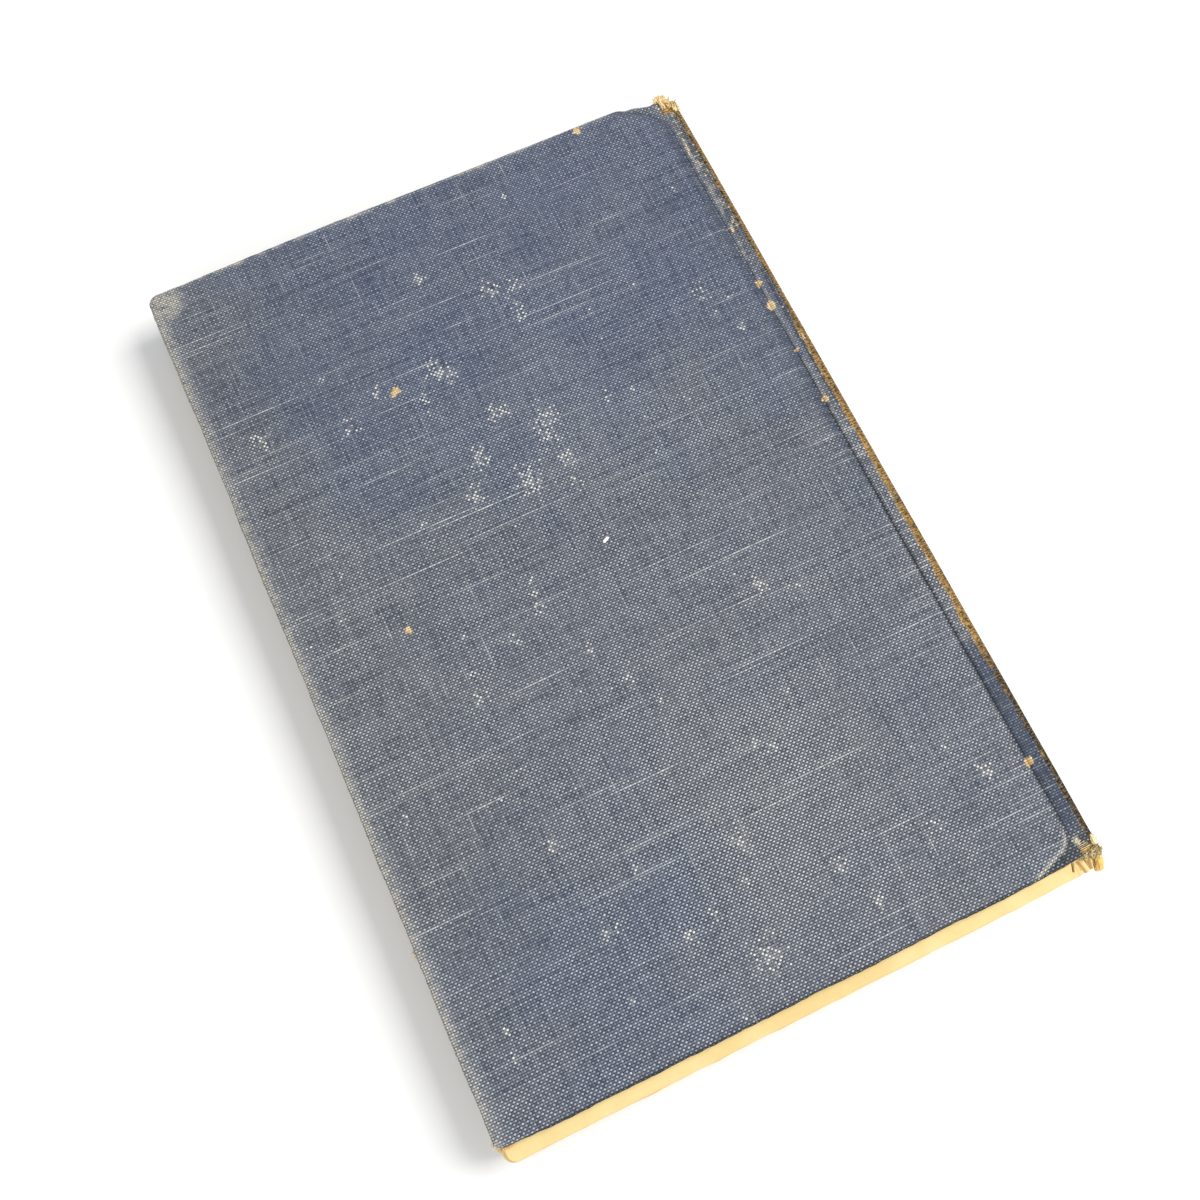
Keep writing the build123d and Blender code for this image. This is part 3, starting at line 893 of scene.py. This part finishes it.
def flyleaf():
    """The first leaf, whose tail stands out and is crumpled beside the back."""
    fore, back = fly_low.x, fly_high.x
    tail, head = fly_low.y, fly_high.y
    spans = ((fore + 4 * MM, 0.4 * MM), (56.5 * MM, 1.6 * MM), (back + 0.25 * MM, 0.08 * MM))
    columns = joined(fore, *spans)
    rows = joined(tail, (tail + 4 * MM, 0.12 * MM), (head - 1 * MM, 2.5 * MM), (head, 0.25 * MM))
    x, y = np.meshgrid(columns, rows, indexing="ij")
    tail_lift, head_lift = rounded(x - fore, LEAF_TAIL_CORNER), rounded(x - fore, LEAF_HEAD_CORNER)
    edge = 0.06 * MM * ripple(x, 0 * x, 9 * MM, 61) + corner_lift(x)
    edge = edge + 0.1 * MM * smooth(x, 57 * MM, 58 * MM) * ripple(x, 0 * x, 1.3 * MM, 62)
    y = y + (tail_lift + edge) * np.clip(1 - (y - tail) / (4 * MM), 0, 1)
    y = y - head_lift * np.clip(1 - (head - y) / (4 * MM), 0, 1)
    rise, hollow = crumple(x, y)
    z = fly_high.z + rise - 0.02 * MM
    points = np.stack([x, y, z], -1)
    n_col, n_row = x.shape
    faces = grid_faces(n_col, n_row)
    loop = [(i, 0) for i in range(n_col)] + [(n_col - 1, j) for j in range(1, n_row)]
    loop += [(i, n_row - 1) for i in range(n_col - 2, -1, -1)] + [(0, j) for j in range(n_row - 2, 0, -1)]
    lower = np.array([points[i, j] for i, j in loop]) - np.array([0, 0, fly_high.z - fly_low.z])
    first = n_col * n_row
    upper = [i * n_row + j for i, j in loop]
    for m in range(len(loop)):
        following = (m + 1) % len(loop)
        faces.append((upper[following], upper[m], first + m, first + following))
    rim = hump(x, fore + 0.15 * MM, 0.3 * MM, 1.0) * (0.6 + 0.4 * ripple(x, y, 7 * MM, 63))
    corner = hump(x, fore + 1.2 * MM, 1.4 * MM) * hump(y, tail + 3.2 * MM, 0.6 * MM)
    tail_rim = 0.225 * np.exp(-(y - tail - tail_lift) / (0.25 * MM))
    # Browner along the fore edge, near the fore end of the cover's tail edge, along the tail and round the
    # lower rim; the darkness in the crumpled hollows is painted shade.
    stain_and_shade = np.clip(np.maximum.reduce([0.55 * rim, 0.45 * corner, tail_rim, hollow]), 0, 1)
    stain_and_shade = np.concatenate([stain_and_shade.ravel(), [0.6] * len(loop)])
    points = np.concatenate([points.reshape(-1, 3), lower])
    return make_piece("flyleaf", points, faces, ENDPAPER, {"stain_and_shade": stain_and_shade})


leaves = leaf_stack()
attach(leaves, "block")
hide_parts("text_block")
leaf = flyleaf()
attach(leaf, "block")
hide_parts("back_flyleaf")


def paper_sheet(name, x, y, z, stain_and_shade, side):
    """A sheet of endpaper, mirrored to the front cover's side of the block when side is negative."""
    points = np.stack([x, y, z], -1).reshape(-1, 3)
    faces = grid_faces(*x.shape, upward=False)
    if side < 0:
        points = points * [1, 1, -1] + [0, 0, TOP]
        faces = [face[::-1] for face in faces]
    return make_piece(name, points, faces, ENDPAPER, {"stain_and_shade": stain_and_shade.ravel()})


def pasted_leaf(name, side):
    """The leaf glued inside a cover, sunk where the turned-in cloth and the mull end below it."""
    fore, near = FORE + PASTE_MARGIN, paste_high.x
    tail, head = TAIL + PASTE_MARGIN, HEAD - PASTE_MARGIN
    step_x, step_low, step_high = FORE + TURN_IN, TAIL + TURN_IN, HEAD - TURN_IN
    flap_x = near - MULL_FLAP

    def with_steps(low, high, steps):
        marks = [np.linspace(low, high, 40)]
        marks += [step + np.linspace(-0.8, 0.8, 9) * MM for step in steps]
        return np.unique(np.round(np.concatenate(marks), 6))

    columns = with_steps(fore, near, (step_x, flap_x))
    rows = with_steps(tail, head, (step_low, step_high))
    x, y = np.meshgrid(columns, rows, indexing="ij")
    soft = 0.6 * MM
    inner = smooth(x, step_x - soft, step_x + soft) * smooth(y, step_low - soft, step_low + soft)
    inner = inner * smooth(-y, -step_high - soft, -step_high + soft)
    on_flap = smooth(x, flap_x - 0.5 * MM, flap_x + 0.5 * MM)
    sink = inner * (WELL_DEPTH - MULL_THICK * on_flap)
    z = paste_low.z + sink + 0.02 * MM * ripple(x, y, 14 * MM, 71) * inner
    lift = rounded(x - fore, PASTE_CORNER)
    cut = np.clip((x - near + 7 * MM) * 0.36, 0, None)
    y = np.clip(y, tail + lift + cut, head - lift - 1.6 * cut)
    edge = np.minimum.reduce([x - fore, y - tail, head - y])
    stain_and_shade = 0.35 * np.exp(-edge / (1.5 * MM)) + 0.3 * smooth(x, near - 5 * MM, near)
    return paper_sheet(name, x, y, z, stain_and_shade, side)


def joint_paper(name, side):
    """The endpaper where it crosses the joint, from the first leaf to the pasted one."""
    columns = np.linspace(paste_high.x - 0.3 * MM, block_high.x, 15)
    rows = np.linspace(0, 1, 90)
    x, share = np.meshgrid(columns, rows, indexing="ij")
    inward = (x - columns[0]) / (columns[-1] - columns[0])
    low, high = TAIL + (5.6 - 1.6 * inward) * MM, HEAD - (7.2 + 2.2 * inward) * MM
    y = low + (high - low) * share
    z = fly_high.z + 0.05 * MM + 0.06 * MM * np.sin(math.pi * inward)
    stain_and_shade = np.clip(0.25 + 0.1 * ripple(x, y, 6 * MM, 73), 0, 1)
    return paper_sheet(name, x, y, z, stain_and_shade, side)


for side, cover in ((1, "back"), (-1, "front")):
    pasted = pasted_leaf(cover + "_pasted_leaf", side)
    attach(pasted, cover + "_cover")
    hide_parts(cover + "_pastedown")
    paper = joint_paper(cover + "_joint_paper", side)
    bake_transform(paper)


def axes_along(way, tilt):
    """Three directions at right angles: along the way, to its side and above it."""
    ahead = way / np.linalg.norm(way)
    flank = np.cross(ahead, (0.0, tilt, 1.0))
    flank = flank / np.linalg.norm(flank)
    return ahead, flank, np.cross(flank, ahead)


def lumps(name, items, material):
    """Knots of matted thread or glue, one for each row of the table."""
    points, faces, tones = [], [], []
    rings, sides = 22, 40
    lengthwise = np.linspace(0.02, 0.98, rings) * math.pi
    turns = np.arange(sides) * 2 * math.pi / sides
    along, around = np.meshgrid(lengthwise, turns, indexing="ij")
    for number, (middle, way, length, width, narrow, grooves, tone) in enumerate(items):
        ahead, flank, above = axes_along(np.array(way, float), 0.2)
        twist = 0.25 * np.sin(2 * along + number) + 0.2 * ripple(along, around, 2.5, 80 + number)
        strand = np.abs(np.sin(0.5 * grooves * around + 2.5 * twist))
        rough = 0.08 * ripple(3 * np.cos(around), 3 * along, 1.2, 90 + number)
        size = np.sin(along) ** 0.7 * (1 + narrow * np.cos(along))
        size = size * (0.78 + 0.22 * np.sqrt(strand) + rough)
        across = width * MM * size[..., None]
        place = np.array(middle) * MM - length * MM * np.cos(along)[..., None] * ahead
        place = place + across * np.cos(around)[..., None] * flank
        place = place + across * np.sin(around)[..., None] * above
        faces += tube_faces(len(points), rings, sides)
        points.extend(place.reshape(-1, 3))
        # The tone varies at random and is darker in the grooves between strands as painted shade.
        shade = 0.12 * ripple(along, 2 * around, 0.8, 70 + number) - 0.55 * (1 - smooth(strand, 0.05, 0.45))
        tones.extend((tone + shade).ravel())
    return make_piece(name, np.array(points), faces, material, {"tone": tones})


def fibres(name, clusters, seed, material):
    """Loose thread ends, one cluster for each row of the table."""
    draw = np.random.default_rng(seed)
    points, faces, tones = [], [], []
    sides, steps = 4, 6
    for (low, high), way, spread, count, length, radius, (dark, light), *taper in clusters:
        taper = taper[0] if taper else 0.6
        low, high = np.array(low) * MM, np.array(high) * MM
        for _ in range(count):
            place = low + (high - low) * draw.random(3)
            heading = np.array(way, float) + spread * draw.normal(size=3)
            reach = length * MM * draw.uniform(0.5, 1.3)
            thick = radius * MM * draw.uniform(0.6, 1.4)
            tone = draw.uniform(dark, light)
            bend = draw.normal(size=3) * min(0.5, spread)
            bend[2] *= 0.3
            faces += tube_faces(len(points), steps + 1, sides, clockwise=False)
            tones += [tone] * sides * (steps + 1)
            for k in range(steps + 1):
                ahead, flank, above = axes_along(heading, 0.3)
                size = thick * (1 - taper * (k / steps) ** 2)
                for m in range(sides):
                    angle = 2 * math.pi * (m + 0.3 * k) / sides
                    points.append(place + size * (math.cos(angle) * flank + math.sin(angle) * above))
                place = place + ahead * reach / steps
                heading = ahead + bend / steps
    return make_piece(name, points, faces, material, {"tone": tones})


def on_cloth(x, y, above=0.0):
    """A place given in millimetres and set on the back of the cover's cloth."""
    return (x, y, (TOP - float(cover_drop(x * MM, y * MM))) / MM + above)


# Loose threads, in millimetres: box, way, spread, count, length, radius, darkest and lightest tone, taper

# Along the spine's back edge and at its two ends
SPINE_FRAYS = [
    (((59.3, 94.9, 13.4), (60.6, 96.3, 13.7)), (-0.4, 1.0, 0.1), 0.9, 60, 0.5, 0.13, (0.4, 1.0)),
    (((60.6, 94.2, 13.3), (62.0, 96.3, 13.6)), (0.4, 1.0, 0.1), 0.9, 70, 0.5, 0.12, (0.2, 1.0)),
    (((61.6, 92.6, 13.2), (63.0, 95.2, 13.5)), (0.6, 0.8, 0.1), 0.9, 70, 0.5, 0.12, (0.2, 1.0)),
    (((62.7, 91.2, 13.1), (63.5, 93.4, 13.4)), (0.2, 1.0, 0.1), 0.5, 40, 0.9, 0.13, (0.2, 0.8)),
    (((62.4, 91.0, 13.4), (62.9, 91.8, 13.6)), (0.3, 1.0, 0.0), 0.15, 8, 1.5, 0.2, (0.95, 1.0)),
    (((60.2, 92.6, 13.5), (60.9, 94.6, 13.7)), (-0.1, 1.0, 0.0), 0.25, 16, 1.3, 0.17, (0.85, 1.0)),
    (((61.0, 96.0, 13.3), (61.4, 96.4, 13.4)), (0.3, 1.0, 0.1), 0.25, 3, 2.2, 0.04, (0.6, 0.8)),
    (((63.3, -94.0, 12.4), (64.0, -90.4, 13.1)), (0.8, -0.2, 0.1), 0.7, 90, 0.5, 0.045, (0.1, 0.45)),
    (((61.9, -46.0, 13.1), (62.5, 52.0, 13.2)), (-1.0, 0.03, 0.04), 0.3, 300, 0.45, 0.05, (0.5, 1.0)),
    (((62.3, -88.0, 13.05), (62.9, -50.0, 13.15)), (-1.0, 0.03, 0.04), 0.3, 130, 0.5, 0.05, (0.2, 0.8)),
    (((62.3, 54.0, 13.05), (63.2, 92.0, 13.15)), (-0.6, 0.6, 0.04), 0.5, 130, 0.5, 0.06, (0.05, 0.7)),
    (((62.2, 26.6, 13.15), (62.9, 29.4, 13.3)), (-0.3, 1.0, 0.05), 0.4, 24, 0.8, 0.12, (0.75, 1.0)),
]
# Threads left where the cloth's other threads are gone, beside the spine at the tail
LOOSE_WEAVE = [
    (((60.0, -94.3, 12.5), (63.9, -93.0, 13.0)), (1.0, -0.1, 0.0), 0.45, 210, 0.55, 0.08, (0.0, 1.1)),
    (((60.2, -94.5, 12.3), (64.0, -93.2, 12.9)), (0.1, -1.0, -0.1), 0.5, 170, 0.5, 0.085, (0.0, 1.1)),
    (((61.6, -94.9, 11.6), (63.9, -93.6, 12.5)), (0.3, -0.8, -0.2), 0.8, 170, 0.5, 0.08, (0.0, 1.0)),
    (((62.6, -93.2, 12.9), (63.9, -90.9, 13.1)), (0.3, -0.8, 0.0), 0.7, 90, 0.4, 0.07, (0.0, 0.7)),
]
for step in range(5):
    low = on_cloth(59.9 + 0.15 * (step % 2), -91.5 - 0.34 * step, -0.02)
    high = on_cloth(60.1 + 0.15 * (step % 2), -91.46 - 0.34 * step, 0.02)
    LOOSE_WEAVE.append(((low, high), (1.0, 0.02, -0.02), 0.04, 3, 1.7, 0.06, (0.5, 1.0), 0.2))
corner_box = (on_cloth(59.9, -91.3), on_cloth(60.7, -90.6, 0.05))
LOOSE_WEAVE.append((corner_box, (1.0, 0.3, 0.0), 0.4, 12, 0.6, 0.1, (0.8, 1.1)))
# Lumps, in millimetres: middle, way, half length, half width, narrowing, number of grooves, tone

# Glue and sewing threads that stand out at the tail of the back
KNOTS = [
    ((63.3, -96.25, 10.5), (0.4, 1.0, 0.05), 1.75, 0.9, 0.05, 15, 0.66),
    ((62.6, -96.3, 10.3), (0.4, 1.0, 0.0), 1.6, 0.55, 0.1, 9, 0.5),
    ((62.75, -97.35, 10.5), (0.7, 0.8, 0.1), 0.6, 0.4, 0.0, 6, 0.8),
    ((63.75, -96.2, 10.8), (0.2, 1.0, 0.1), 0.9, 0.4, 0.0, 6, 0.85),
]
# Matted threads at the ends of the spine
SPINE_KNOTS = [
    ((63.42, -91.75, 13.1), (0.06, 1.0, 0.0), 1.05, 0.55, 0.5, 5, 0.95),
    ((59.75, 95.75, 13.5), (0.5, 1.0, 0.0), 0.6, 0.36, 0.0, 4, 0.8),
    ((60.35, 96.15, 13.4), (0.9, 0.5, 0.0), 0.6, 0.36, 0.0, 4, 0.6),
    ((60.55, 95.2, 13.5), (0.3, 1.0, 0.0), 0.7, 0.4, 0.1, 5, 0.95),
    ((61.2, 95.5, 13.4), (0.9, -0.5, 0.0), 0.6, 0.4, 0.0, 4, 0.65),
    ((61.75, 94.8, 13.3), (0.6, -0.8, 0.0), 0.65, 0.4, 0.0, 4, 0.8),
    ((62.3, 94.1, 13.3), (0.5, -0.9, 0.0), 0.6, 0.38, 0.0, 4, 0.6),
    ((62.75, 93.3, 13.2), (0.4, -0.9, 0.0), 0.65, 0.36, 0.1, 4, 0.9),
    ((63.1, 92.3, 13.15), (0.3, -1.0, 0.0), 0.75, 0.34, 0.2, 4, 0.95),
]
# Threads at the corners and edges of the back cover
COVER_FRAYS = [
    (((-63.7, -93.9, 11.6), (-61.6, -93.1, 12.4)), (-0.2, -1.0, 0.0), 0.5, 50, 0.7, 0.08, (0.5, 1.0)),
    (((-64.0, -92.6, 11.8), (-63.6, -91.8, 12.8)), (-0.3, -1.0, 0.0), 0.3, 10, 1.1, 0.1, (0.8, 1.0)),
    (((-64.1, -57.2, 12.6), (-63.8, -54.6, 13.2)), (-1.0, 0.2, 0.1), 0.5, 22, 0.9, 0.035, (0.5, 0.9)),
    (((-20.8, 96.4, 12.6), (-18.4, 97.1, 13.3)), (0.0, 1.0, 0.1), 0.3, 16, 0.4, 0.1, (0.4, 0.7)),
    (((-63.0, 95.2, 12.2), (-62.2, 95.9, 13.0)), (-0.5, 1.0, 0.0), 0.3, 12, 0.6, 0.1, (0.6, 0.9)),
]
COVER_FRAYS += [
    (((x, 96.6, 12.4), (x + 0.7, 97.0, 13.2)), (0.0, 1.0, 0.1), 0.3, 5, 0.45, 0.08, (0.5, 0.9))
    for x in (-38.0, -35.6, -12.2, -7.0, -1.1, 18.8, 28.2, 39.4, 47.3)
]
spine_frays = fibres("spine_frays", SPINE_FRAYS, 51, FRAYED)
knots = lumps("spine_knots", SPINE_KNOTS, FRAYED)
loose_weave = fibres("loose_weave", LOOSE_WEAVE, 54, OLIVE)
for piece in (spine_frays, knots, loose_weave):
    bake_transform(piece)
tuft = lumps("tail_tuft", KNOTS, GLUED)
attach(tuft, "block")
WHITE_FLECK = [(on_cloth(3.7, 3.4, -0.12), (1.0, 0.45, 0.0), 0.85, 0.42, 0.2, 2, 1.0)]
fleck = lumps("lint", WHITE_FLECK, LINT)
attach(fleck, "back_cover")
cover_frays = fibres("cover_frays", COVER_FRAYS, 53, FRAYED)
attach(cover_frays, "back_cover")


def spine_card():
    """The card inside the spine, its two back corners worn off with the cloth."""
    low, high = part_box("spine_inlay")
    outline = [(low.y, low.z), (high.y, low.z), (high.y, high.z - 3.6 * MM), (HEAD - 6 * MM, high.z)]
    outline += [(TAIL + 3 * MM, high.z), (low.y, high.z - 2.4 * MM)]
    count = len(outline)
    points = [(x, y, z) for x in (low.x, high.x) for y, z in outline]
    faces = [tuple(reversed(range(count))), tuple(range(count, 2 * count))]
    faces += [(k, (k + 1) % count, (k + 1) % count + count, k + count) for k in range(count)]
    piece = make_piece("spine_card", points, faces, CARD, smooth_shade=False)
    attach(piece, "block")
    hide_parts("spine_inlay")


spine_card()
for material, nodes in (
    (CARD, ("back_board", "front_board", "spine_lining")),
    (MULL, ("mull", "back_mull_flap", "front_mull_flap")),
    (ENDPAPER, ("front_flyleaf",)),
):
    for node in nodes:
        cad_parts[node].material_slots[0].material = material


# Camera solved from the photograph: its place in millimetres, its directions and its lens
CAMERA_PLACE = (-30.275, -66.475, 246.6)
CAMERA_LOOK = (0.1134, 0.2429, -0.9634)
CAMERA_RIGHT = (0.9057, -0.4238, -0.0003)
CAMERA_UP = (0.4084, 0.8726, 0.268)
LENS = 35.46
SENSOR = 36.0

# Studio light
FLOOR_COLOUR = (0.86, 0.86, 0.85, 1.0)
FLOOR_REACH = 3.0
SKY_COLOUR = (0.93, 0.96, 1.0, 1.0)
SKY_STRENGTH = 0.55


def stage_floor():
    g = Graph("floor")
    g.shader.inputs["Base Color"].default_value = FLOOR_COLOUR
    g.shader.inputs["Roughness"].default_value = 0.7
    mesh = bpy.data.meshes.new("floor")
    corners = [(x * FLOOR_REACH, y * FLOOR_REACH, 0) for x, y in ((-1, -1), (1, -1), (1, 1), (-1, 1))]
    mesh.from_pydata(corners, [], [(0, 1, 2, 3)])
    mesh.materials.append(g.material)
    floor = place_in_scene("floor", mesh)
    floor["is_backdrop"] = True


def camera():
    data = bpy.data.cameras.new("camera")
    data.sensor_width, data.lens = SENSOR, LENS
    data.clip_start, data.clip_end = 0.01, 20.0
    eye = place_in_scene("camera", data)
    matrix = np.eye(4)
    matrix[:3, :3] = np.column_stack([CAMERA_RIGHT, CAMERA_UP, -np.array(CAMERA_LOOK)])
    matrix[:3, 3] = np.array(CAMERA_PLACE) * MM
    eye.matrix_world = Matrix(matrix.tolist())
    bpy.context.scene.camera = eye


def lamp(name, place, size, power, colour=(1.0, 1.0, 1.0)):
    """A square lamp that faces the book."""
    data = bpy.data.lights.new(name, "AREA")
    data.size, data.energy, data.color = size, power, colour
    light = place_in_scene(name, data)
    light.location = place
    light.rotation_euler = (-light.location).to_track_quat("-Z", "Y").to_euler()


def world_light():
    world = bpy.data.worlds.new("world")
    bpy.context.scene.world = world
    world.use_nodes = True
    background = world.node_tree.nodes["Background"]
    background.inputs[0].default_value = SKY_COLOUR
    background.inputs[1].default_value = SKY_STRENGTH


stage_floor()
camera()
world_light()
lamp("key", (0.75, -0.05, 0.98), 0.6, 14.0, (1.0, 0.98, 0.95))
lamp("fill", (-0.3, -0.9, 0.9), 1.0, 6.0)
bpy.context.scene.view_settings.view_transform = "Standard"

low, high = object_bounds()
